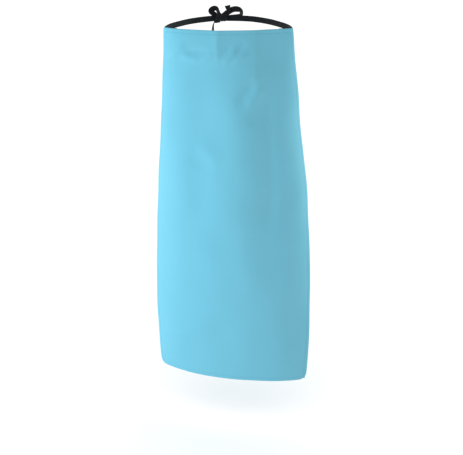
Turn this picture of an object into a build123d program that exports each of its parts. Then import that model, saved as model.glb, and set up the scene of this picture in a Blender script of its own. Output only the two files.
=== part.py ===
from build123d import *
import os
from math import cos, radians, sin, tan

# A waist apron of lead-loaded vinyl in a cloth cover, as it hangs on a standing wearer.
# Millimetres. The origin is midway between the two top corners, at the height of the top
# edge. The front faces -Y, the ties close behind the wearer at +Y, and +Z is up.

# Cloth panel: its outer face is an arc of an ellipse at every height.
PANEL_LENGTH = 900  # top edge to hem
WAIST_HALF_AXIS = 151  # sideways half axis of the ellipse at the waist
HEM_HALF_AXIS = 244
WAIST_BULGE = 42  # front to back half axis at the waist
HEM_BULGE = 124
WAIST_END_ANGLE = 75  # from the front centre round to the side edge
HEM_END_ANGLE = 52
END_ANGLE_EASE = 2.2  # most of the change comes low down
HEM_BACK_SHIFT = 70  # how far the hem's ellipse lies behind the waist's
HEM_SIDE_SHIFT = 22  # the hem hangs a little to one side
HEM_TURN = -11  # and is turned with the wearer's hips, degrees
LEVEL_COUNT = 13  # level sections that a full-length layer is lofted through
SECTION_POINTS = 15

# Layers, from the outer face inwards.
LAYER_GAP = 0.2
COVER_THICK = 0.4
PLY_THICK = 0.45
LINING_THICK = 0.3
HEM_THICK = 0.4
PATCH_THICK = 0.4
TACK_THICK = 0.4
PLY_COUNT = 3
PLY_INSET_SHARE = 0.09  # the plies stop short of the stitched edges
PLY_INSET_DROP = 0.02
TOP_HEM_DROP = 12
BOTTOM_HEM_DROP = 12
SIDE_HEM_SHARE = 0.06

# Tape ties, woven, standing on edge along the wearer's back.
TAPE_WIDTH = 14
TAPE_THICK = 1.0
TAPE_MID_Z = -TAPE_WIDTH / 2
SEWN_SHARE = 0.22  # stretch of tape sewn inside each top corner, as a share of half the panel
PATCH_SHARE = 0.3
PATCH_DROP = 42
TACK_SHARES = (0.8, 0.92)
RIGHT_TIE_ROUTE = [(143.5, 11), (141, 38), (118, 82), (88, 121), (38, 155), (-10, 152.5)]
LEFT_TIE_ROUTE = [(-143.5, 11), (-141, 38), (-118, 82), (-84, 125), (-38, 150.5)]

# Bow, tied a little left of the middle of the back.
KNOT_SIZE = (36, 18, 18)
KNOT_CENTRE = (-24, 151, -6)
KNOT_ROUND = 5
LOOP_DEPTH = (147, 160)  # nearest and furthest the loops reach behind the wearer
LEFT_LOOP_OUTLINE = [(-26, 3.5), (-37, 24), (-57, 15), (-54, 3.5)]
LEFT_LOOP_ROUND = 4
RIGHT_LOOP_OUTLINE = [(-8, 3.5), (5, 20), (16, 22.5), (28, 19), (32, 10), (31, 3.5)]
RIGHT_LOOP_ROUND = 2.5
UPPER_TAIL_OUTLINE = [(-20, 3.5), (-14, 3.5), (1, 24), (-14, 24)]
UPPER_TAIL_Y = 153
LOWER_TAIL_X = -36
LOWER_TAIL_ROUTE = [(157, -15.5), (160, -45), (159, -90), (155, -135)]
ARC_SHARE = 0.45  # of the shorter run at each corner of a tape's route


def between(first, last, share):
    return first + (last - first) * share


def panel_point(across, drop, depth):
    """A point of the panel: across from -1 to 1, drop from 0 to 1, depth inwards."""
    end_angle = between(WAIST_END_ANGLE, HEM_END_ANGLE, drop**END_ANGLE_EASE)
    angle = radians(across * end_angle)
    side = between(WAIST_HALF_AXIS, HEM_HALF_AXIS, drop)
    bulge = between(HEM_BULGE, WAIST_BULGE, (1 - drop) ** 3)
    normal = Vector(sin(angle) / side, -cos(angle) / bulge).normalized()
    corner_y = WAIST_BULGE * cos(radians(WAIST_END_ANGLE))
    x = side * sin(angle) - normal.X * depth
    y = corner_y - bulge * cos(angle) - normal.Y * depth
    turned = Vector(x, y).rotate(Axis.Z, HEM_TURN * drop)
    shift = Vector(HEM_SIDE_SHIFT * drop, HEM_BACK_SHIFT * drop, -PANEL_LENGTH * drop)
    return turned + shift


def section(start, end, drop, depth, thick):
    """One level section of a layer, from start to end across the panel."""
    shares = [between(start, end, i / (SECTION_POINTS - 1)) for i in range(SECTION_POINTS)]
    outer = [panel_point(share, drop, depth) for share in shares]
    inner = [panel_point(share, drop, depth + thick) for share in shares]
    edges = [
        Spline(*outer),
        Line(outer[-1], inner[-1]),
        Spline(*reversed(inner)),
        Line(inner[0], outer[0]),
    ]
    return make_face(Wire(edges))


def layer(depth, thick, across=(-1, 1), drops=(0, 1)):
    """A layer of cloth or vinyl that covers part of the panel."""
    first, last = drops
    count = max(3, round((last - first) * LEVEL_COUNT))
    levels = [between(first, last, i / (count - 1)) for i in range(count)]
    return loft([section(*across, level, depth, thick) for level in levels])


def drop_share(length):
    return length / PANEL_LENGTH


def tape_path(points):
    """Straight runs joined by arcs as large as the runs allow, in the XY plane."""
    corners = [Vector(*point) for point in points]
    radii = []
    for before, here, after in zip(corners, corners[1:], corners[2:]):
        run_in, run_out = here - before, after - here
        half_turn = radians(run_in.get_angle(run_out)) / 2
        shorter = min(run_in.length, run_out.length)
        radii.append(ARC_SHARE * shorter / tan(half_turn))
    print("tape radii", [round(radius) for radius in radii])
    return FilletPolyline(*corners, radius=radii)


def tape_band(points):
    """The tape's edge-on shape along a path, in the XY plane."""
    path = tape_path(points)
    start = path @ 0
    across = (path % 0).rotate(Axis.Z, 90) * (TAPE_THICK / 2)
    cut = Line(start - across, start + across)
    band = sweep(cut, path=path)
    print("tape length", round(path.length), "area", round(band.area / TAPE_THICK))
    return band


def tie(route):
    """A tie on edge behind the wearer, with a rounded start about its pivot."""
    band = extrude(tape_band(route), TAPE_WIDTH, dir=(0, 0, 1))
    band = Pos(0, 0, -TAPE_WIDTH) * band
    end_disc = Cylinder(TAPE_WIDTH / 2, TAPE_THICK, rotation=(0, 90, 0))
    x, y = route[0]
    return band + Pos(x, y, TAPE_MID_Z) * end_disc


def knot():
    shape = Pos(*KNOT_CENTRE) * Box(*KNOT_SIZE)
    return fillet(shape.edges(), KNOT_ROUND)


def bow_loop(outline, rounding):
    """A closed loop of tape, its width along Y."""
    near, far = LOOP_DEPTH
    outer = make_face(FilletPolyline(*outline, radius=rounding, close=True))
    inner = offset(outer, -TAPE_THICK)
    ring = Plane.XZ * (outer - inner)
    return extrude(Pos(0, far, 0) * ring, far - near, dir=(0, -1, 0))


def upper_tail():
    blank = Plane.XZ * make_face(Polyline(*UPPER_TAIL_OUTLINE, close=True))
    return extrude(Pos(0, UPPER_TAIL_Y, 0) * blank, TAPE_THICK, dir=(0, 1, 0))


def lower_tail():
    band = Plane.YZ * tape_band(LOWER_TAIL_ROUTE)
    start = LOWER_TAIL_X - TAPE_WIDTH / 2
    return extrude(Pos(start, 0, 0) * band, TAPE_WIDTH, dir=(1, 0, 0))


def panel_layers():
    """The layers of the panel, each a little inside the one before it."""
    inset = 1 - PLY_INSET_SHARE
    ply_drops = (PLY_INSET_DROP, 1 - PLY_INSET_DROP)
    made = {"front_cover": layer(0, COVER_THICK)}
    depth = COVER_THICK + LAYER_GAP
    for name in ("outer", "middle", "inner")[:PLY_COUNT]:
        made[f"{name}_shield_ply"] = layer(depth, PLY_THICK, (-inset, inset), ply_drops)
        depth += PLY_THICK + LAYER_GAP
    made["lining"] = layer(depth, LINING_THICK)
    depth += LINING_THICK + LAYER_GAP
    top = drop_share(TOP_HEM_DROP)
    bottom = 1 - drop_share(BOTTOM_HEM_DROP)
    side = 1 - SIDE_HEM_SHARE
    made["top_hem"] = layer(depth, HEM_THICK, drops=(0, top))
    made["bottom_hem"] = layer(depth, HEM_THICK, drops=(bottom, 1))
    made["left_side_hem"] = layer(depth, HEM_THICK, (-1, -side), (top, bottom))
    made["right_side_hem"] = layer(depth, HEM_THICK, (side, 1), (top, bottom))
    return made, depth + HEM_THICK + LAYER_GAP


def corner_pieces(side_name, sign, depth):
    """Patch, sewn end of the tie and bar tack at one top corner."""

    def shares(near, far):
        return tuple(sorted((sign * near, sign * far)))

    made = {}
    patch_drops = (0, drop_share(PATCH_DROP))
    tape_drops = (0, drop_share(TAPE_WIDTH))
    patch = layer(depth, PATCH_THICK, shares(1 - PATCH_SHARE, 1), patch_drops)
    made[f"{side_name}_corner_patch"] = patch
    depth += PATCH_THICK + LAYER_GAP
    sewn = layer(depth, TAPE_THICK, shares(1 - SEWN_SHARE, 1), tape_drops)
    made[f"{side_name}_tie_sewn_end"] = sewn
    depth += TAPE_THICK + LAYER_GAP
    made[f"{side_name}_bar_tack"] = layer(depth, TACK_THICK, shares(*TACK_SHARES), tape_drops)
    return made


def tape_pieces():
    """The ties behind the wearer and the bow that closes them."""
    bow_knot = knot()
    return {
        "bow_knot": bow_knot,
        "left_tie": tie(LEFT_TIE_ROUTE) - bow_knot,
        "right_tie": tie(RIGHT_TIE_ROUTE) - bow_knot,
        "left_bow_loop": bow_loop(LEFT_LOOP_OUTLINE, LEFT_LOOP_ROUND),
        "right_bow_loop": bow_loop(RIGHT_LOOP_OUTLINE, RIGHT_LOOP_ROUND),
        "upper_tail": upper_tail(),
        "lower_tail": lower_tail(),
    }


pieces, inner_depth = panel_layers()
pieces |= corner_pieces("left", -1, inner_depth)
pieces |= corner_pieces("right", 1, inner_depth)
pieces |= tape_pieces()

os.makedirs("parts", exist_ok=True)
for name, piece in pieces.items():
    export_step(piece, f"parts/{name}.step")
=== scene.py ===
"""A waist-length radiation apron: cloth cover over lead vinyl plies, tied behind with black tape.

Metres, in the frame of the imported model. The front of the apron faces -Y.
"""

import math
import bpy
import numpy as np
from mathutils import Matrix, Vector


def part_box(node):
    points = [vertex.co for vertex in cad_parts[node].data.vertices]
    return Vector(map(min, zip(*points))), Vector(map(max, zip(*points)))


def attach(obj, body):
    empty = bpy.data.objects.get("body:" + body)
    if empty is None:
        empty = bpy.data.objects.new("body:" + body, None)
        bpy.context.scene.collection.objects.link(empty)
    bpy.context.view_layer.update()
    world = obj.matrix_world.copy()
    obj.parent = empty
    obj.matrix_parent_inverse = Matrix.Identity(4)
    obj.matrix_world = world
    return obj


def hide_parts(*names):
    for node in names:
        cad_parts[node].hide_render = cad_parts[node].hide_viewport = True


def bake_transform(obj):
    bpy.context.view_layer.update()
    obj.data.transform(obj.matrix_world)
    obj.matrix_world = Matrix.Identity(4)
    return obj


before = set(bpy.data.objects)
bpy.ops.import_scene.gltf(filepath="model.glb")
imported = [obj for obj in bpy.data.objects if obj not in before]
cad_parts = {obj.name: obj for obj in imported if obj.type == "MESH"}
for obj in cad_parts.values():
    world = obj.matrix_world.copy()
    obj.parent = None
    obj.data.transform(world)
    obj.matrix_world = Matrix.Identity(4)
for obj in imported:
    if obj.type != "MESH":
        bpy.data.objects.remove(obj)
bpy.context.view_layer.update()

# ---------------------------------------------------------------- panel shape
PANEL_LENGTH = -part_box("front_cover")[0].z
WAIST_SIDE_AXIS, HEM_SIDE_AXIS = 0.1535, 0.2465  # half axes of the level ellipses
WAIST_BULGE, HEM_BULGE = 0.042, 0.124
WAIST_END, HEM_END = math.radians(75), math.radians(52)  # round to the side edges
END_EASE = 2.2
HEM_SHIFT = (0.022, 0.070)
HEM_TURN = math.radians(-11)
# Where the sides leave that even flare: middle (down), spread, and how far out, in millimetres.
SIDE_SWELLS = [(0, 45, 2.6), (235, 90, -3.4)]

# Layers, as depths in from the outer face.
COVER_THICK = 0.0004
GAP = 0.0002
PLY_THICK = 0.00045
LINING_THICK = 0.0003
PATCH_THICK = 0.0004
TAPE_THICK = 0.001
PLY_STEP = PLY_THICK + GAP
FIRST_PLY = COVER_THICK + GAP
LINING_DEPTH = FIRST_PLY + 3 * PLY_STEP
HEM_DEPTH = LINING_DEPTH + LINING_THICK + GAP
STACK = HEM_DEPTH + COVER_THICK  # the cover's own edge is turned round the whole stack
FOLD_RADIUS = STACK / 2

# Edges and stitching.
TOP_CORNER, BOTTOM_CORNER = 0.003, 0.016  # corner radii of the cut cloth
HEM_WIDTH = 0.012
STITCH_INSET = 0.009
STITCH_SPACING, STITCH_LENGTH = 0.0031, 0.0024
TACK_SPACING, TACK_LENGTH = 0.0011, 0.0014
THREAD_WIDTH = 0.00045
STITCH_LIFT = 0.00012  # middle of a stitch above the cloth
MARGIN = 0.014  # strip along each edge that gets a fine mesh
FINE_STEP = 0.001
COVER_COLUMNS, COVER_ROWS = 94, 218  # mesh lines between the margins
PLY_INSET = MARGIN + 0.003
TAPE_WIDTH = 0.014


def mix(first, last, share):
    return first + (last - first) * share


def smooth(low, high, value):
    share = np.clip((value - low) / (high - low), 0, 1)
    return share * share * (3 - 2 * share)


def ellipse(drop):
    """Half axes of the level ellipse at a share of the way down."""
    return mix(WAIST_SIDE_AXIS, HEM_SIDE_AXIS, drop), mix(HEM_BULGE, WAIST_BULGE, (1 - drop) ** 3)


def arc_run(angle, side, bulge):
    """Distance round an ellipse from its front, near enough and exact in its slope at both axes."""
    return (side + bulge) / 2 * angle + (side - bulge) / 4 * np.sin(2 * angle)


def half_width(v):
    """Half the panel's width along the cloth, v metres down."""
    drop = np.clip(v / PANEL_LENGTH, 0, 1)
    return arc_run(mix(WAIST_END, HEM_END, drop**END_EASE), *ellipse(drop))


# Soft creases: start and end on the cloth (across, down), half width, height, in millimetres.
CREASES = [
    (22, 60, 36, 640, 40, 5.4),  # where the thigh turns the cloth to the right
    (-14, 76, 22, 40, 6, 2.2),  # short pulls near the middle of the waist
    (10, 72, 44, 50, 6, 1.8),
    (-18, 58, 6, 34, 5, -1.5),
    (18, 50, 40, 28, 6, -1.5),
    (-134, 66, -96, 34, 8, 2.6),  # short pulls on the left
    (-108, 60, -62, 70, 8, 2.1),
    (-64, 70, -32, 52, 7, 2.1),
    (-100, 50, -48, 46, 7, -1.9),
    (22, 164, 62, 120, 14, -3.4),  # slack folds over the thigh
    (44, 172, 78, 132, 14, 2.8),
    (52, 214, 76, 180, 11, -2.4),
    (92, 60, 98, 520, 24, -5.6),  # long hollow down the right
    (96, -40, 98, 110, 46, -6.0),  # wider at the waist
    (-72, 30, -82, 560, 42, -5.0),  # shallow hollow down the left
    (-72, 268, -20, 306, 16, 1.5),
    (-96, 300, -44, 322, 18, -1.3),
]
# Folds with a narrow ridge, given the same way, and last how rounded the ridge is.
FOLDS = [
    (-24, -8, -25, 66, 26, 6.0, 1.2),
    (60, 0, 66, 150, 24, 4.6, 4.0),
    (82, 180, 88, 440, 24, 4.2, 5.0),
]
SLACK = 0.0009  # height of the cloth's own unevenness
SLACK_FROM = 0.08  # full from this far down, and pulled flat towards the top
SIDE_CURL = 0.0012  # how far the left side edge turns back
CURL_WIDTH = 0.024
# Along the stitch row: the cloth puckers between two pitches, and the row sinks into a groove.
PUCKER, PUCKER_SPREAD, PUCKER_PITCHES = 0.00014, 0.004, (0.0115, 0.0173)
GROOVE, GROOVE_SPREAD = 0.0003, 0.0013


def crease(u, v, line):
    u0, v0, u1, v1, spread, height, *rounding = (value / 1000 for value in line)
    length = math.hypot(u1 - u0, v1 - v0)
    along_u, along_v = (u1 - u0) / length, (v1 - v0) / length
    along = (u - u0) * along_u + (v - v0) * along_v
    aside = (u - u0) * along_v - (v - v0) * along_u
    fade = smooth(-spread, length * 0.35, along) * smooth(-spread, length * 0.35, length - along)
    if rounding:
        return height * fade * np.exp(-np.hypot(aside, rounding[0]) / spread)
    return height * fade * np.exp(-((aside / spread) ** 2))


def unevenness(u, v):
    """Slow waves that never repeat over the panel."""
    total = 0 * u
    for turn in range(1, 8):
        heading = 2.4 * turn
        pitch = 0.21 / turn**0.6
        phase = 2 * math.pi / pitch * (u * math.cos(heading) + v * math.sin(heading) * 0.6)
        total = total + np.sin(phase + turn * turn) / turn**0.8
    return total


def edge_distance(u, v):
    side = half_width(v) - np.abs(u)
    return np.minimum(np.minimum(side, v), PANEL_LENGTH - v)


def relief(u, v):
    """Height of the cloth over its plain shape."""
    height = SLACK * unevenness(u, v) * smooth(0, SLACK_FROM, v)
    for line in CREASES + FOLDS:
        height = height + crease(u, v, line)
    curl = np.clip(1 - (u + half_width(v)) / CURL_WIDTH, 0, 1)
    height = height - SIDE_CURL * curl**2
    edge = edge_distance(u, v)
    along = np.where(half_width(v) - np.abs(u) < np.minimum(v, PANEL_LENGTH - v), v, u)
    near_row = np.exp(-(((edge - STITCH_INSET) / PUCKER_SPREAD) ** 2))
    short, long = (2 * math.pi * along / pitch for pitch in PUCKER_PITCHES)
    pucker = np.sin(short) + 0.6 * np.sin(long + 1)
    groove = np.exp(-(((edge - STITCH_INSET) / GROOVE_SPREAD) ** 2))
    return height + PUCKER * pucker * near_row - GROOVE * groove


def plain_surface(u, v):
    """Outer face without relief, and its outward normal in plan."""
    drop = np.clip(v / PANEL_LENGTH, 0, 1)
    side, bulge = ellipse(drop)
    angle = u / ((side + bulge) / 2)
    for _ in range(5):
        slope = (side + bulge) / 2 + (side - bulge) / 2 * np.cos(2 * angle)
        angle = angle - (arc_run(angle, side, bulge) - u) / slope
    swell = 0
    for down, spread, out in SIDE_SWELLS:
        swell = swell + out / 1000 * np.exp(-(((v * 1000 - down) / spread) ** 2))
    x = (side + swell) * np.sin(angle)
    y = WAIST_BULGE * math.cos(WAIST_END) - bulge * np.cos(angle)
    normal_x, normal_y = np.sin(angle) / side, -np.cos(angle) / bulge
    size = np.hypot(normal_x, normal_y)
    cos_turn, sin_turn = np.cos(HEM_TURN * drop), np.sin(HEM_TURN * drop)

    def turned(a, b):
        return a * cos_turn - b * sin_turn, a * sin_turn + b * cos_turn

    x, y = turned(x, y)
    normal_x, normal_y = turned(normal_x / size, normal_y / size)
    place = np.stack([x + HEM_SHIFT[0] * drop, y + HEM_SHIFT[1] * drop, -v], -1)
    return place, np.stack([normal_x, normal_y, 0 * v], -1)


def outer_face(u, v):
    place, normal = plain_surface(u, v)
    return place + normal * relief(u, v)[..., None]


def unit(vectors):
    return vectors / np.maximum(np.linalg.norm(vectors, axis=-1, keepdims=True), 1e-12)


def cloth_frame(u, v, step=0.0006):
    """Point on the outer face, with unit directions across, down and outwards."""
    across = unit(outer_face(u + step, v) - outer_face(u - step, v))
    down = unit(outer_face(u, v + step) - outer_face(u, v - step))
    return outer_face(u, v), across, down, unit(np.cross(down, across))


def cloth_point(u, v, depth):
    place, _, _, out = cloth_frame(u, v)
    return place - out * depth


# ---------------------------------------------------------------- mesh helpers
def add_object(name, mesh, finish=None):
    piece = bpy.data.objects.new(name, mesh)
    bpy.context.scene.collection.objects.link(piece)
    if finish is not None:
        mesh.materials.append(finish)
    return piece


def quad_mesh(name, points, faces, flat_faces, uv):
    """A mesh whose corners carry uv in metres of cloth; flat_faces keep hard edges."""
    mesh = bpy.data.meshes.new(name)
    mesh.from_pydata(points.tolist(), [], [list(map(int, face)) for face in faces + flat_faces])
    smooth_flags = [True] * len(faces) + [False] * len(flat_faces)
    mesh.polygons.foreach_set("use_smooth", smooth_flags)
    layer = mesh.uv_layers.new(name="cloth")
    corner_points = np.zeros(len(mesh.loops), int)
    mesh.loops.foreach_get("vertex_index", corner_points)
    layer.data.foreach_set("uv", uv[corner_points].ravel().astype(np.float32))
    mesh.update()
    return mesh


def grid_faces(rows, columns, start, flipped):
    index = start + np.arange(rows * columns).reshape(rows, columns)
    corners = [index[:-1, :-1], index[1:, :-1], index[1:, 1:], index[:-1, 1:]]
    if flipped:
        corners.reverse()
    return np.stack([corner.ravel() for corner in corners], -1).tolist()


def shell_mesh(name, outer, inner, u, v):
    """Closed thin sheet between two grids of points."""
    rows, columns = u.shape
    count = rows * columns
    faces = grid_faces(rows, columns, 0, False) + grid_faces(rows, columns, count, True)
    index = np.arange(count).reshape(rows, columns)
    rim = np.concatenate([index[0, :-1], index[:-1, -1], index[-1, :0:-1], index[:0:-1, 0]])
    following = np.roll(rim, -1)
    border = np.stack([rim, following, following + count, rim + count], -1).tolist()
    points = np.concatenate([outer.reshape(-1, 3), inner.reshape(-1, 3)])
    flat = np.stack([u.ravel(), v.ravel()], -1)
    return quad_mesh(name, points, faces, border, np.concatenate([flat, flat]))


# ---------------------------------------------------------------- cloth pieces
def turned_edge(u, v):
    """Clamps flat points to the folded outline: place, distance past it, and direction there."""
    limit = half_width(v) - FOLD_RADIUS
    low, high = FOLD_RADIUS, PANEL_LENGTH - FOLD_RADIUS
    below = v > PANEL_LENGTH / 2
    corner = np.where(below, BOTTOM_CORNER, TOP_CORNER)
    over_u = np.abs(u) - (limit - corner)
    over_v = np.where(below, v - (high - corner), low + corner - v)
    side_u, side_v = np.sign(u), np.where(below, 1.0, -1.0)
    push_u, push_v = np.maximum(over_u, 0), np.maximum(over_v, 0)
    size = np.maximum(np.hypot(push_u, push_v), 1e-9)
    toward_u, toward_v = push_u / size, push_v / size
    reach = np.maximum(push_u, push_v)
    kept = np.minimum(reach, corner)
    place_u = np.where(over_u > 0, side_u * (limit - corner + toward_u * kept), u)
    edge_v = np.where(below, high - corner + toward_v * kept, low + corner - toward_v * kept)
    place_v = np.where(over_v > 0, edge_v, v)
    return place_u, place_v, np.maximum(reach - corner, 0), toward_u * side_u, toward_v * side_v


def margin_stops():
    flat = np.arange(FINE_STEP, MARGIN - FOLD_RADIUS, FINE_STEP)
    rolled = MARGIN - FOLD_RADIUS + np.linspace(0, math.pi * FOLD_RADIUS, 6)
    return np.concatenate([flat, rolled])


def cover_grid():
    """Flat places of the cover's mesh lines, past the outline where the edge is turned."""
    margin = margin_stops()
    ones = np.ones(len(margin))
    inner = np.linspace(-1, 1, COVER_COLUMNS)
    share = np.concatenate([-ones, inner, ones])
    extra = np.concatenate([-margin[::-1], 0 * inner, margin])
    middle = np.linspace(MARGIN, PANEL_LENGTH - MARGIN, COVER_ROWS)
    v = np.concatenate([(MARGIN - margin)[::-1], middle, PANEL_LENGTH - MARGIN + margin])
    share, v = np.meshgrid(share, v)
    return share * (half_width(v) - MARGIN) + extra[None, :], v


def front_cover(finish):
    """Outer cloth with its edge turned round the plies and the lining."""
    flat_u, flat_v = cover_grid()
    u, v, past, toward_u, toward_v = turned_edge(flat_u, flat_v)
    place, across, down, out = cloth_frame(u, v)
    middle = place - out * FOLD_RADIUS
    angle = np.minimum(past / FOLD_RADIUS, math.pi)[..., None]
    sideways = across * toward_u[..., None] + down * toward_v[..., None]
    spoke = out * np.cos(angle) + sideways * np.sin(angle)
    outer = middle + spoke * FOLD_RADIUS
    inner = middle + spoke * (FOLD_RADIUS - COVER_THICK)
    mesh = shell_mesh("cloth", outer, inner, flat_u, flat_v)
    return add_object("apron_front_cloth", mesh, finish)


def cloth_patch(name, left, right, top, bottom, depth, thick, finish, step=0.004):
    """A flat piece of the stack, between distances from the side edges and from the top.

    left and right are (share of the half width, metres added to it).
    """
    rows = max(3, round((bottom - top) / step))
    v = np.linspace(top, bottom, rows)[:, None]
    half = half_width(v)
    start, end = left[0] * half + left[1], right[0] * half + right[1]
    columns = max(3, round(float((end - start).max()) / step))
    u = start + (end - start) * np.linspace(0, 1, columns)[None, :]
    v = v + 0 * u
    outer, inner = cloth_point(u, v, depth), cloth_point(u, v, depth + thick)
    return add_object(name, shell_mesh(name, outer, inner, u, v), finish)


def plies(finish):
    made = []
    for place, name in enumerate(("outer", "middle", "inner")):
        ply = cloth_patch(
            f"lead_vinyl_{name}", (-1, PLY_INSET), (1, -PLY_INSET),
            PLY_INSET, PANEL_LENGTH - PLY_INSET,
            FIRST_PLY + place * PLY_STEP, PLY_THICK, finish, step=0.006,
        )
        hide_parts(f"{name}_shield_ply")
        made.append(ply)
    return made


def lining(finish):
    inset = FOLD_RADIUS + 0.0004
    return cloth_patch(
        "apron_lining_cloth", (-1, inset), (1, -inset), inset, PANEL_LENGTH - inset,
        LINING_DEPTH, LINING_THICK, finish, step=0.005,
    )


def hems(finish):
    """The turned edges of the cover, seen from the wearer's side."""
    low, high = FOLD_RADIUS, PANEL_LENGTH - FOLD_RADIUS
    inset = FOLD_RADIUS
    spans = {
        "top_hem": ((-1, inset), (1, -inset), low, HEM_WIDTH),
        "bottom_hem": ((-1, BOTTOM_CORNER), (1, -BOTTOM_CORNER), PANEL_LENGTH - HEM_WIDTH, high),
        "left_side_hem": ((-1, inset), (-1, HEM_WIDTH), HEM_WIDTH, PANEL_LENGTH - BOTTOM_CORNER),
        "right_side_hem": ((1, -HEM_WIDTH), (1, -inset), HEM_WIDTH, PANEL_LENGTH - BOTTOM_CORNER),
    }
    made = []
    for node, (left, right, top, bottom) in spans.items():
        hem = cloth_patch(
            f"turned_{node}", left, right, top, bottom, HEM_DEPTH, COVER_THICK, finish, step=0.003
        )
        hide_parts(node)
        made.append(hem)
    return made


# ---------------------------------------------------------------- tape
RIB_COUNT = 5
PROFILE_POINTS = 26
TIE_STEP, TAIL_STEP, BOW_STEP = 0.0016, 0.0014, 0.0011  # lengths of mesh along the tapes


def curve_line(points, detail=16):
    """Points along the smooth spline that has these as its control points."""
    curve = bpy.data.curves.new("line", "CURVE")
    curve.dimensions = "3D"
    spline = curve.splines.new("NURBS")
    spline.points.add(len(points) - 1)
    for control, point in zip(spline.points, points):
        control.co = (*point, 1)
    spline.order_u = 3
    spline.use_endpoint_u = True
    spline.resolution_u = detail
    holder = bpy.data.objects.new("line", curve)
    mesh = bpy.data.meshes.new_from_object(holder)
    line = np.array([vertex.co for vertex in mesh.vertices])
    bpy.data.objects.remove(holder)
    bpy.data.curves.remove(curve)
    bpy.data.meshes.remove(mesh)
    return line


def evenly(line, others, step):
    """The line and what goes with it, at even steps along the line."""
    runs = np.concatenate([[0], np.cumsum(np.linalg.norm(np.diff(line, axis=0), axis=1))])
    stops = np.linspace(0, runs[-1], max(4, round(runs[-1] / step)))

    def at_stops(values):
        return np.stack([np.interp(stops, runs, values[:, axis]) for axis in range(3)], -1)

    return at_stops(line), at_stops(others), stops


def tape_profile(width, thick):
    """Outline of the woven tape's section: ribs along both faces, thinner at the selvedges."""
    across = np.linspace(-1, 1, PROFILE_POINTS)
    rib = 0.86 - 0.14 * np.cos(math.pi * (RIB_COUNT * (across + 1)))
    height = rib * np.sqrt(np.clip(1.02 - across**8, 0.12, 1)) * thick / 2
    upper = np.stack([across * width / 2, height], -1)
    return np.concatenate([upper, upper[::-1] * (1, -1)])


def tape_along(name, line, across, stops, width=TAPE_WIDTH, closed=False):
    """Woven tape along a line; across gives the way its width points at each point."""
    if closed:
        forward = unit(np.roll(line, -1, 0) - np.roll(line, 1, 0))
    else:
        forward = unit(np.gradient(line, axis=0))
    across = unit(across - forward * (across * forward).sum(1)[:, None])
    face = np.cross(across, forward)
    profile = tape_profile(width, TAPE_THICK)
    count, around = len(line), len(profile)
    points = (
        line[:, None]
        + across[:, None] * profile[None, :, :1]
        + face[:, None] * profile[None, :, 1:]
    )
    rings = np.arange(count * around).reshape(count, around)
    after = np.roll(rings, -1, 0) if closed else rings[1:]
    before = rings if closed else rings[:-1]
    corners = [before, np.roll(before, -1, 1), np.roll(after, -1, 1), after]
    faces = np.stack([corner.ravel() for corner in corners], -1).tolist()
    ends = [] if closed else [rings[0, ::-1].tolist(), rings[-1].tolist()]
    flat_across = np.broadcast_to(profile[None, :, 0], (count, around))
    flat_along = np.broadcast_to(stops[:, None], (count, around))
    uv = np.stack([flat_across.ravel(), flat_along.ravel()], -1)
    return quad_mesh(name, points.reshape(-1, 3), faces, ends, uv)


def joined(name, meshes, finish):
    """One piece made of several closed meshes."""
    parts = [add_object(f"{name}_{place}", mesh) for place, mesh in enumerate(meshes)]
    with bpy.context.temp_override(
        active_object=parts[0], selected_editable_objects=parts, object=parts[0]
    ):
        bpy.ops.object.join()
    whole = parts[0]
    whole.name = name
    whole.data.materials.clear()
    whole.data.materials.append(finish)
    return whole


TAPE_Z = -TAPE_WIDTH / 2
UP = (0, 0, 1)
TIE_SAG = 0.001  # how far the ties hang below their sewn ends
RIGHT_TIE_ROUTE = [(147, 1.5), (144, 38), (118, 82), (88, 121), (38, 155), (-10, 152.5)]
LEFT_TIE_ROUTE = [(-147, 1.5), (-144, 38), (-118, 82), (-84, 125), (-38, 150.5)]
LOWER_TAIL_ROUTE = [
    (-26, 156, -12), (-37, 158, -14), (-43, 160, -22), (-44.5, 161, -45), (-44, 160, -84),
    (-43, 157, -123),
]
LOWER_TAIL_FACING = [(0, 0, 1), (0.1, 0.5, 1), (0.2, 1, 0.2), (0.5, 1, 0), (0.7, 1, 0), (0.8, 1, 0)]


def millimetres(points):
    return [tuple(value / 1000 for value in point) for point in points]


def free_tape(name, points, facing, node, finish, step):
    """A free length of tape, with the smooth line that it follows and its real length."""
    line, across, stops = evenly(curve_line(points), curve_line(facing), step)
    piece = add_object(name, tape_along(name, line, across, stops), finish)
    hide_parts(node)
    return piece, line, float(stops[-1])


def tie(side, route, finish):
    """A tie from the end of its sewn part round to the knot."""
    points = [(x / 1000, y / 1000, TAPE_Z - TIE_SAG) for x, y in route]
    points[0] = (*points[0][:2], TAPE_Z)
    facing = [UP] * len(points)
    return free_tape(f"{side}_tie_tape", points, facing, f"{side}_tie", finish, TIE_STEP)


def hanging_end(finish):
    """The free end that hangs from the knot."""
    points = millimetres(LOWER_TAIL_ROUTE)
    facing = LOWER_TAIL_FACING
    return free_tape("lower_tail_tape", points, facing, "lower_tail", finish, TAIL_STEP)


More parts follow.
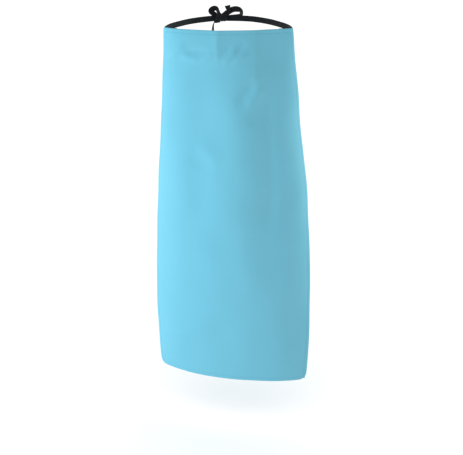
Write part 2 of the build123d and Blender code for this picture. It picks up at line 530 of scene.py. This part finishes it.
# The bow, as routes from the middle of the knot: across, behind, up (millimetres), and how far
# the tape leans from face on (0) to edge on (90), as seen from the front.
KNOT_CENTRE = np.array([-0.0215, 0.153, -0.0065])
KNOT_RADII = (0.0165, 0.0075, 0.0070)
LEFT_LOOP = [
    (-1, 1, 3, 50), (-6, 3, 8, 55), (-10, 5, 15, 48), (-13.5, 6, 22, 30), (-21.5, 6, 20.5, 10),
    (-28, 5, 14.5, 10), (-22, 3, 9, 42), (-12, 1, 4, 48),
]
RIGHT_LOOP = [
    (3, 1, 4, 40), (14, 4, 12, 20), (26, 6, 19, 15), (38, 6, 20, 25), (48, 3, 15, 60),
    (47, -1, 5, 40), (37, -2, 2, 15), (22, -1, 0, 10), (4, 0, -2, 20),
]
UPPER_TAIL = [(3, 3, 3, 40), (12, 5, 9, 62), (17, 7, 13, 66), (15, 8, 20, 35), (13, 9, 27.5, 5)]


def bow_tape(name, route, node, finish):
    """Tape that bends within the plane of the bow and leans in and out of it."""
    values = np.array(route, float)
    points = values[:, :3] / 1000 + KNOT_CENTRE
    heading = unit(np.gradient(points, axis=0) * (1, 0, 1))
    outward = np.stack([-heading[:, 2], 0 * heading[:, 0], heading[:, 0]], -1)
    lean = np.radians(values[:, 3])[:, None]
    facing = outward * np.cos(lean) + np.array([0, 1, 0]) * np.sin(lean)
    line, across, stops = evenly(curve_line(points), curve_line(facing), BOW_STEP)
    piece = add_object(name, tape_along(name, line, across, stops), finish)
    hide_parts(node)
    return piece


def knot_core():
    """Rounded lump of tape inside the knot's wraps."""
    rows, columns = 17, 28
    polar = np.linspace(0.04, math.pi - 0.04, rows)[:, None]
    turn = np.linspace(0, 2 * math.pi, columns, endpoint=False)[None, :]
    swell = 1 + 0.07 * np.sin(3 * turn + 5 * polar) + 0.05 * np.cos(7 * polar)
    along, behind, upright = KNOT_RADII
    x = along * np.cos(polar) * swell + 0 * turn
    y = behind * np.sin(polar) * np.cos(turn) * swell
    z = upright * np.sin(polar) * np.sin(turn) * swell
    points = np.stack([x, y, z], -1) + KNOT_CENTRE
    rings = np.arange(rows * columns).reshape(rows, columns)
    before, after = rings[:-1], rings[1:]
    corners = [before, after, np.roll(after, -1, 1), np.roll(before, -1, 1)]
    faces = np.stack([corner.ravel() for corner in corners], -1).tolist()
    ends = [rings[0].tolist(), rings[-1, ::-1].tolist()]
    uv = np.stack([points[..., 2].ravel(), points[..., 0].ravel()], -1)
    return quad_mesh("core", points.reshape(-1, 3), faces, ends, uv)


# Wraps of the knot: where across, lean about the view line, radii behind and up, tape width.
KNOT_WRAPS = [(-6, 24, 8.6, 8.6, 12), (7, -20, 9.0, 8.2, 11), (1, 6, 9.8, 9.0, 8)]


def knot_wrap(place):
    across, lean, radius_y, radius_z, width = KNOT_WRAPS[place]
    axis = np.array([math.cos(math.radians(lean)), 0, math.sin(math.radians(lean))])
    upright = np.array([-axis[2], 0, axis[0]])
    turns = np.linspace(0, 2 * math.pi, 48)[:, None]
    line = (
        KNOT_CENTRE
        + np.array([across / 1000, 0, 0])
        + np.array([0, 1, 0]) * np.cos(turns) * radius_y / 1000
        + upright * np.sin(turns) * radius_z / 1000
    )
    stops = np.linspace(0, 2 * math.pi * radius_z / 1000, len(line) - 1)
    facing = np.tile(axis, (len(line) - 1, 1))
    return tape_along(f"wrap_{place}", line[:-1], facing, stops, width / 1000, closed=True)


def knot(finish):
    meshes = [knot_core()] + [knot_wrap(place) for place in range(len(KNOT_WRAPS))]
    piece = joined("tied_knot", meshes, finish)
    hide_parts("bow_knot")
    return piece


# ---------------------------------------------------------------- sewn corners
PATCH_DEPTH = HEM_DEPTH + COVER_THICK + GAP
SEWN_DEPTH = PATCH_DEPTH + PATCH_THICK + GAP
TACK_DEPTH = SEWN_DEPTH + TAPE_THICK + GAP
PATCH_SHARE = 0.7  # the patch covers this share of the half width and out to the edge
PATCH_DROP = 0.042
PATCH_STITCH_INSET = 0.0035
SEWN_SHARE = 0.78
SEWN_SHORT = 0.0015  # the sewn part stops this short of the side edge
TACK_SHARES = (0.8, 0.92)
TACK_INSET = 0.0018  # from the selvedges of the tape
BAR_REACH = 0.0008


def corner_patch(side, sign, finish):
    spans = [(sign * PATCH_SHARE, 0), (sign, -sign * FOLD_RADIUS)]
    left, right = spans if sign > 0 else spans[::-1]
    patch = cloth_patch(
        f"{side}_patch_cloth", left, right, FOLD_RADIUS, PATCH_DROP, PATCH_DEPTH, PATCH_THICK,
        finish, step=0.0025,
    )
    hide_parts(f"{side}_corner_patch")
    return patch


def sewn_end(side, sign, finish):
    """The end of a tie where it lies flat on its patch."""
    half = float(half_width(np.array(-TAPE_Z)))
    u = sign * np.linspace(SEWN_SHARE * half, half - SEWN_SHORT, 22)
    v = np.full(len(u), -TAPE_Z)
    line = cloth_point(u, v, SEWN_DEPTH + TAPE_THICK / 2)
    line[:, 2] = TAPE_Z
    across = np.tile((0.0, 0.0, 1.0), (len(u), 1))
    stops = np.abs(u - u[0])
    name = f"{side}_sewn_tape"
    piece = add_object(name, tape_along(name, line, across, stops), finish)
    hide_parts(f"{side}_tie_sewn_end")
    return piece


def tack_rows(sign):
    """A box of stitches with a cross in it and a dense bar at each end."""
    half = float(half_width(np.array(-TAPE_Z)))
    near, far = (sign * share * half for share in TACK_SHARES)
    top, bottom = TACK_INSET, TAPE_WIDTH - TACK_INSET
    box = [(near, top), (far, top), (far, bottom), (near, bottom), (near, top)]
    cross = [[(near, top), (far, bottom)], [(near, bottom), (far, top)]]
    bars = []
    for edge in (near, far):
        for height in np.linspace(top, bottom, 22):
            bars.append([(edge - BAR_REACH, height), (edge + BAR_REACH, height + 0.0003)])
    rows = []
    for corners in [box, *cross, *bars]:
        ends = np.array(corners)
        along = np.linspace(0, len(ends) - 1, 6 * (len(ends) - 1) + 1)
        u, v = (np.interp(along, range(len(ends)), ends[:, axis]) for axis in (0, 1))
        rows.append(cloth_point(u, v, TACK_DEPTH - GAP + THREAD_WIDTH * 0.3))
    return rows


def patch_row(sign):
    """The stitch line that holds a patch to the lining."""
    low = PATCH_DROP - PATCH_STITCH_INSET
    v = np.concatenate([np.linspace(TAPE_WIDTH + 0.002, low, 12), np.full(24, low)])
    half = half_width(v)
    inner = sign * (PATCH_SHARE * half + PATCH_STITCH_INSET)
    outer = sign * (half - STITCH_INSET)
    share = np.concatenate([np.zeros(12), np.linspace(0, 1, 24)])
    return cloth_point(mix(inner, outer, share), v, PATCH_DEPTH + PATCH_THICK + 0.0001)


# ---------------------------------------------------------------- nodes
class Value:
    """A node's output socket that takes part in arithmetic."""

    def __init__(self, nodes, socket):
        self.nodes, self.socket = nodes, socket

    def beside(self, name):
        """Another output of the same node."""
        return Value(self.nodes, self.socket.node.outputs[name])

    def _math(self, operation, first, second):
        return self.nodes.node("ShaderNodeMath", {"operation": operation}, {0: first, 1: second})

    def __add__(self, other):
        return self._math("ADD", self, other)

    __radd__ = __add__

    def __sub__(self, other):
        return self._math("SUBTRACT", self, other)

    def __rsub__(self, other):
        return self._math("SUBTRACT", other, self)

    def __mul__(self, other):
        return self._math("MULTIPLY", self, other)

    __rmul__ = __mul__


class Nodes:
    """A node tree whose nodes are all made by one method."""

    def __init__(self, tree):
        self.tree = tree

    def node(self, kind, settings=None, inputs=None, output=0):
        """Make a node from its settings and the values or links of its sockets."""
        made = self.tree.nodes.new(kind)
        for setting, value in (settings or {}).items():
            setattr(made, setting, value)
        for socket, value in (inputs or {}).items():
            if isinstance(value, Value):
                self.tree.links.new(value.socket, made.inputs[socket])
            else:
                made.inputs[socket].default_value = value
        return Value(self, made.outputs[output]) if made.outputs else None


# ---------------------------------------------------------------- stitches
def stitch_tree(thread):
    """Nodes that lay a stitch at every spacing along the edges of a mesh."""
    tree = bpy.data.node_groups.new("stitch_row", "GeometryNodeTree")
    face = tree.interface
    face.new_socket("Row", in_out="INPUT", socket_type="NodeSocketGeometry")
    for name in ("Spacing", "Stitch length", "Thread width"):
        face.new_socket(name, in_out="INPUT", socket_type="NodeSocketFloat")
    face.new_socket("Stitches", in_out="OUTPUT", socket_type="NodeSocketGeometry")
    node = Nodes(tree).node
    row = node("NodeGroupInput", output="Row")
    length, width = row.beside("Stitch length"), row.beside("Thread width")
    curve = node("GeometryNodeMeshToCurve", None, {"Mesh": row})
    points = node(
        "GeometryNodeCurveToPoints",
        {"mode": "LENGTH"},
        {"Curve": curve, "Length": row.beside("Spacing")},
    )
    turn = node(
        "FunctionNodeAlignRotationToVector", {"axis": "Z"}, {"Vector": points.beside("Tangent")}
    )
    bead = node("GeometryNodeMeshUVSphere", None, {"Segments": 6, "Rings": 4, "Radius": 0.5})
    size = node("ShaderNodeCombineXYZ", None, {"X": width, "Y": width, "Z": length})
    beads = node(
        "GeometryNodeInstanceOnPoints",
        None,
        {"Points": points, "Instance": bead, "Rotation": turn, "Scale": size},
    )
    real = node("GeometryNodeRealizeInstances", None, {"Geometry": beads})
    rounded = node("GeometryNodeSetShadeSmooth", None, {"Geometry": real})
    coloured = node("GeometryNodeSetMaterial", None, {"Geometry": rounded, "Material": thread})
    node("NodeGroupOutput", None, {"Stitches": coloured})
    return tree


def stitched(name, rows, tree, spacing=STITCH_SPACING, length=STITCH_LENGTH):
    """Rows of stitches, each row a list of points, as one plain mesh."""
    points = np.concatenate(rows)
    edges, start = [], 0
    for row in rows:
        edges += [(start + i, start + i + 1) for i in range(len(row) - 1)]
        start += len(row)
    path = bpy.data.meshes.new(name)
    path.from_pydata(points.tolist(), edges, [])
    carrier = add_object(f"{name}_path", path)
    modifier = carrier.modifiers.new("stitches", "NODES")
    modifier.node_group = tree
    sizes = {"Spacing": spacing, "Stitch length": length, "Thread width": THREAD_WIDTH}
    for socket in tree.interface.items_tree:
        if socket.in_out == "INPUT" and socket.name in sizes:
            modifier[socket.identifier] = sizes[socket.name]
    graph = bpy.context.evaluated_depsgraph_get()
    mesh = bpy.data.meshes.new_from_object(carrier.evaluated_get(graph))
    bpy.data.objects.remove(carrier)
    mesh.name = name
    return add_object(name, mesh)


def hem_rows():
    """Stitch lines round the panel, on the front and on the wearer's side."""
    low, high = STITCH_INSET, PANEL_LENGTH - STITCH_INSET
    down = np.linspace(low, high, 260)
    side = half_width(down) - STITCH_INSET
    bottom = np.linspace(1, -1, 120) * side[-1]
    top = np.linspace(-1, 1, 100) * side[0]
    flat_u = np.concatenate([side, bottom, -side[::-1], top])
    flat_v = np.concatenate([down, 0 * bottom + high, down[::-1], 0 * top + low])
    u, v, _, _, _ = turned_edge(flat_u, flat_v)
    return [cloth_point(u, v, -STITCH_LIFT), cloth_point(u, v, STACK + STITCH_LIFT)]


# ---------------------------------------------------------------- finishes
class Finish(Nodes):
    """A material, with the nodes that feed its shader."""

    def __init__(self, name, **constants):
        self.material = bpy.data.materials.new(name)
        self.material.use_nodes = True
        super().__init__(self.material.node_tree)
        self.shader = self.tree.nodes["Principled BSDF"]
        for socket, value in constants.items():
            self.shader.inputs[socket.replace("_", " ")].default_value = value

    def feed(self, **values):
        for socket, value in values.items():
            self.tree.links.new(value.socket, self.shader.inputs[socket.replace("_", " ")])

    def wave(self, value, pitch, phase=0.0):
        """A sine from 0 to 1 along a length in metres."""
        turned = value * (2 * math.pi / pitch) + phase
        return self.node("ShaderNodeMath", {"operation": "SINE"}, {0: turned}) * 0.5 + 0.5

    def cloth_axes(self):
        """Distances across and down the cloth, or across and along the tape."""
        flat = self.node("ShaderNodeUVMap", {"uv_map": "cloth"})
        across = self.node("ShaderNodeSeparateXYZ", None, {"Vector": flat})
        return across, across.beside("Y")

    def blotches(self, scale, detail=3.0):
        place = self.node("ShaderNodeTexCoord", output="Object")
        return self.node(
            "ShaderNodeTexNoise", None, {"Vector": place, "Scale": scale, "Detail": detail}
        )

    def mixed(self, share, first, last):
        return self.node(
            "ShaderNodeMix",
            {"data_type": "RGBA"},
            {"Factor": share, 6: first, 7: last},
            output=2,
        )

    def bumped(self, height, distance, strength=1.0):
        return self.node(
            "ShaderNodeBump", None, {"Height": height, "Distance": distance, "Strength": strength}
        )


def plain_weave(finish, u, v, pitch):
    """Height of warp and weft threads that pass over and under in turn."""
    warp, weft = finish.wave(u, pitch), finish.wave(v, pitch)
    over = (finish.wave(u, 2 * pitch, 0.8) - 0.5) * (finish.wave(v, 2 * pitch, 0.8) - 0.5) * 2 + 0.5
    return warp * over + weft * (1 - over)


def cover_cloth(name, light, dark, pitch=0.0012):
    """Fine proofed cloth: plain weave, faint slubs, slow changes of tone, painted shade in the
    hollows between the threads and a soft sheen.
    """
    finish = Finish(name, Specular_IOR_Level=0.28, Sheen_Weight=0.12, Sheen_Roughness=0.45)
    u, v = finish.cloth_axes()
    weave = plain_weave(finish, u, v, pitch)
    slow, fine = finish.blotches(9.0), finish.blotches(160.0, 4.0)
    # Colour tone: random slow and fine changes, plus painted shade from the weave, darker in the
    # hollows between the threads and lighter on their crowns.
    tone = slow * 0.5 + fine * 0.25 + weave * 0.25
    finish.feed(
        Base_Color=finish.mixed(tone, dark, light),
        Roughness=fine * 0.12 + 0.56,
        Normal=finish.bumped(weave + fine * 0.6, 0.00012, 0.5),
    )
    return finish.material


def lead_vinyl():
    """Heavy filled sheet: matte grey, calendered grain, mottled by its filler."""
    finish = Finish("lead_vinyl_grey", Specular_IOR_Level=0.35)
    slow, fine = finish.blotches(14.0), finish.blotches(420.0, 5.0)
    tone = slow * 0.6 + fine * 0.4
    finish.feed(
        Base_Color=finish.mixed(tone, (0.055, 0.058, 0.064, 1), (0.095, 0.098, 0.105, 1)),
        Roughness=fine * 0.2 + 0.5,
        Normal=finish.bumped(fine, 0.0001, 0.5),
    )
    return finish.material


def black_tape():
    """Herringbone woven tape, black, with painted highlights along the tops of its ribs and on the
    crowns of its picks.
    """
    finish = Finish(
        "woven_black_tape", Specular_IOR_Level=0.12, Sheen_Weight=0.04, Sheen_Roughness=0.5
    )
    u, v = finish.cloth_axes()
    rib = TAPE_WIDTH / RIB_COUNT
    slant = finish.node("ShaderNodeMath", {"operation": "PINGPONG"}, {0: u + 0.02, 1: rib})
    pick = finish.wave(v + slant, 0.0011)
    # Painted highlight along the tops of the ribs.
    rib_top_highlight = finish.wave(u, rib, math.pi / 2)
    fine = finish.blotches(900.0, 3.0)
    # Colour tone: painted highlights on the rib tops and the crowns of the picks, with random fine
    # specks.
    tone = rib_top_highlight * 0.35 + pick * 0.4 + fine * 0.25
    finish.feed(
        Base_Color=finish.mixed(tone, (0.003, 0.003, 0.0034, 1), (0.017, 0.017, 0.019, 1)),
        Roughness=fine * 0.2 + 0.62,
        Normal=finish.bumped(pick * 0.7 + fine * 0.5, 0.00022, 0.7),
    )
    return finish.material


def sewing_thread(light, dark):
    finish = Finish("sewing_thread_blue", Specular_IOR_Level=0.4, Sheen_Weight=0.1)
    fine = finish.blotches(1500.0, 2.0)
    finish.feed(
        Base_Color=finish.mixed(fine, dark, light),
        Roughness=fine * 0.2 + 0.45,
        Normal=finish.bumped(fine, 0.0001, 0.6),
    )
    return finish.material


# ---------------------------------------------------------------- build
COVER_LIGHT, COVER_DARK = (0.156, 0.470, 0.600, 1), (0.130, 0.412, 0.525, 1)
LINING_LIGHT, LINING_DARK = (0.108, 0.398, 0.530, 1), (0.088, 0.342, 0.460, 1)
THREAD_LIGHT, THREAD_DARK = (0.120, 0.370, 0.470, 1), (0.065, 0.250, 0.330, 1)
cover = cover_cloth("cover_cloth_blue", COVER_LIGHT, COVER_DARK)
inside = cover_cloth("lining_cloth_blue", LINING_LIGHT, LINING_DARK, pitch=0.0014)
tape = black_tape()
thread = sewing_thread(THREAD_LIGHT, THREAD_DARK)
vinyl = lead_vinyl()

front = front_cover(cover)
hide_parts("front_cover")
back = lining(inside)
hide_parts("lining")
shield = plies(vinyl)
turned = hems(cover)
rows = stitch_tree(thread)
hem_stitches = stitched("hem_stitching", hem_rows() + [patch_row(-1), patch_row(1)], rows)

SIDES = {"left": -1, "right": 1}
patches = [corner_patch(side, sign, cover) for side, sign in SIDES.items()]
sewn = {side: sewn_end(side, sign, tape) for side, sign in SIDES.items()}
tacks = []
for side, sign in SIDES.items():
    tack = stitched(f"{side}_tack_thread", tack_rows(sign), rows, TACK_SPACING, TACK_LENGTH)
    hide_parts(f"{side}_bar_tack")
    tacks.append(tack)

bow = knot(tape)
left_loop = bow_tape("left_bow_tape", LEFT_LOOP, "left_bow_loop", tape)
right_loop = bow_tape("right_bow_tape", RIGHT_LOOP, "right_bow_loop", tape)
upper_tail = bow_tape("upper_tail_tape", UPPER_TAIL, "upper_tail", tape)
left_tie, left_line, left_length = tie("left", LEFT_TIE_ROUTE, tape)
right_tie, right_line, right_length = tie("right", RIGHT_TIE_ROUTE, tape)
lower_tail, tail_line, tail_length = hanging_end(tape)

for piece in [front, back, hem_stitches, *shield, *turned, *patches, *sewn.values(), *tacks]:
    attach(piece, "apron")
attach(bow, "tie_loop")
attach(left_loop, "left_loop")
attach(right_loop, "right_loop")
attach(upper_tail, "upper_end")
for piece in (left_tie, right_tie):
    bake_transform(piece)
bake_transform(lower_tail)

flat_width = 2 * float(half_width(np.array(PANEL_LENGTH)))
flat_area = float(np.mean(2 * half_width(np.linspace(0, PANEL_LENGTH, 50)))) * PANEL_LENGTH

# ---------------------------------------------------------------- camera, light, floor
CAMERA_AZIMUTH = math.radians(2.2)
CAMERA_DISTANCE = 2.4
CAMERA_HEIGHT = 0.4835
CAMERA_TARGET = (0.0073, 0.0, -0.4946)
FOCAL_SHARE = 2.268  # focal length over the width of the picture
FLOOR_Z, FLOOR_REACH = -1.02, 6
LIT_MIDDLE = (0, 0, -0.45)
# Round lights: place, diameter, watts, tint.
LIGHTS = {
    "key_left": ((-1.99, -1.15, -0.25), 1.1, 31, (0.75, 1.10, 1.24)),
    "edge_left": ((-2.2, 0.7, -0.3), 1.1, 12, (0.95, 1.0, 1.0)),
    "fill_right": ((2.22, 0.6, -0.25), 1.1, 29, (0.82, 1.16, 1.18)),
}
SUN_STRENGTH, SUN_SPREAD = 1.5, math.radians(110)
ROOM_LIGHT, BACKDROP = 0.66, 1.05  # the white surroundings as they light, and as they are seen


def aim(thing, target):
    direction = thing.location - Vector(target)
    thing.rotation_euler = direction.to_track_quat("Z", "Y").to_euler()


def camera():
    data = bpy.data.cameras.new("camera")
    data.sensor_fit = "HORIZONTAL"
    data.lens = FOCAL_SHARE * data.sensor_width
    thing = bpy.data.objects.new("camera", data)
    bpy.context.scene.collection.objects.link(thing)
    thing.location = (
        CAMERA_DISTANCE * math.sin(CAMERA_AZIMUTH),
        -CAMERA_DISTANCE * math.cos(CAMERA_AZIMUTH),
        CAMERA_HEIGHT,
    )
    aim(thing, CAMERA_TARGET)
    bpy.context.scene.camera = thing


def link_light(light, thing, state):
    """Make a light fall only on thing, or on everything else."""
    group = bpy.data.collections.new(f"{light.name}_{state.lower()}")
    group.objects.link(thing)
    group.collection_objects[0].light_linking.link_state = state
    light.light_linking.receiver_collection = group


def soft_light(name, ground):
    """A round area light on the apron, which leaves the floor alone."""
    place, size, power, tint = LIGHTS[name]
    data = bpy.data.lights.new(name, "AREA")
    data.shape = "DISK"
    data.size = size
    data.energy = power
    data.color = tint
    thing = bpy.data.objects.new(name, data)
    bpy.context.scene.collection.objects.link(thing)
    thing.location = place
    aim(thing, LIT_MIDDLE)
    link_light(thing, ground, "EXCLUDE")


def soft_sun(name, strength, spread, lit):
    """Broad light straight down, the same all over, and only on lit."""
    data = bpy.data.lights.new(name, "SUN")
    data.energy = strength
    data.angle = spread
    thing = bpy.data.objects.new(name, data)
    bpy.context.scene.collection.objects.link(thing)
    link_light(thing, lit, "INCLUDE")


def studio(ground):
    world = bpy.data.worlds.new("studio")
    world.use_nodes = True
    backdrop = world.node_tree.nodes["Background"]
    backdrop.inputs["Color"].default_value = (1, 1, 1, 1)
    nodes = Nodes(world.node_tree)
    seen = nodes.node("ShaderNodeLightPath", output="Is Camera Ray")
    levels = {"Value": seen, "To Min": ROOM_LIGHT, "To Max": BACKDROP}
    strength = nodes.node("ShaderNodeMapRange", None, levels)
    world.node_tree.links.new(strength.socket, backdrop.inputs["Strength"])
    bpy.context.scene.world = world
    for name in LIGHTS:
        soft_light(name, ground)
    soft_sun("overhead", SUN_STRENGTH, SUN_SPREAD, ground)


def floor():
    mesh = bpy.data.meshes.new("floor")
    turns = [(-1, -1), (1, -1), (1, 1), (-1, 1)]
    corners = [(x * FLOOR_REACH, y * FLOOR_REACH, FLOOR_Z) for x, y in turns]
    mesh.from_pydata(corners, [], [(0, 1, 2, 3)])
    finish = Finish("pale_floor", Roughness=0.9)
    pale, paler = (0.97, 0.97, 0.97, 1), (0.99, 0.99, 0.99, 1)
    finish.feed(Base_Color=finish.mixed(finish.blotches(3.0), pale, paler))
    ground = add_object("floor", mesh, finish.material)
    return ground


camera()
studio(floor())
bpy.context.scene.view_settings.view_transform = "Standard"
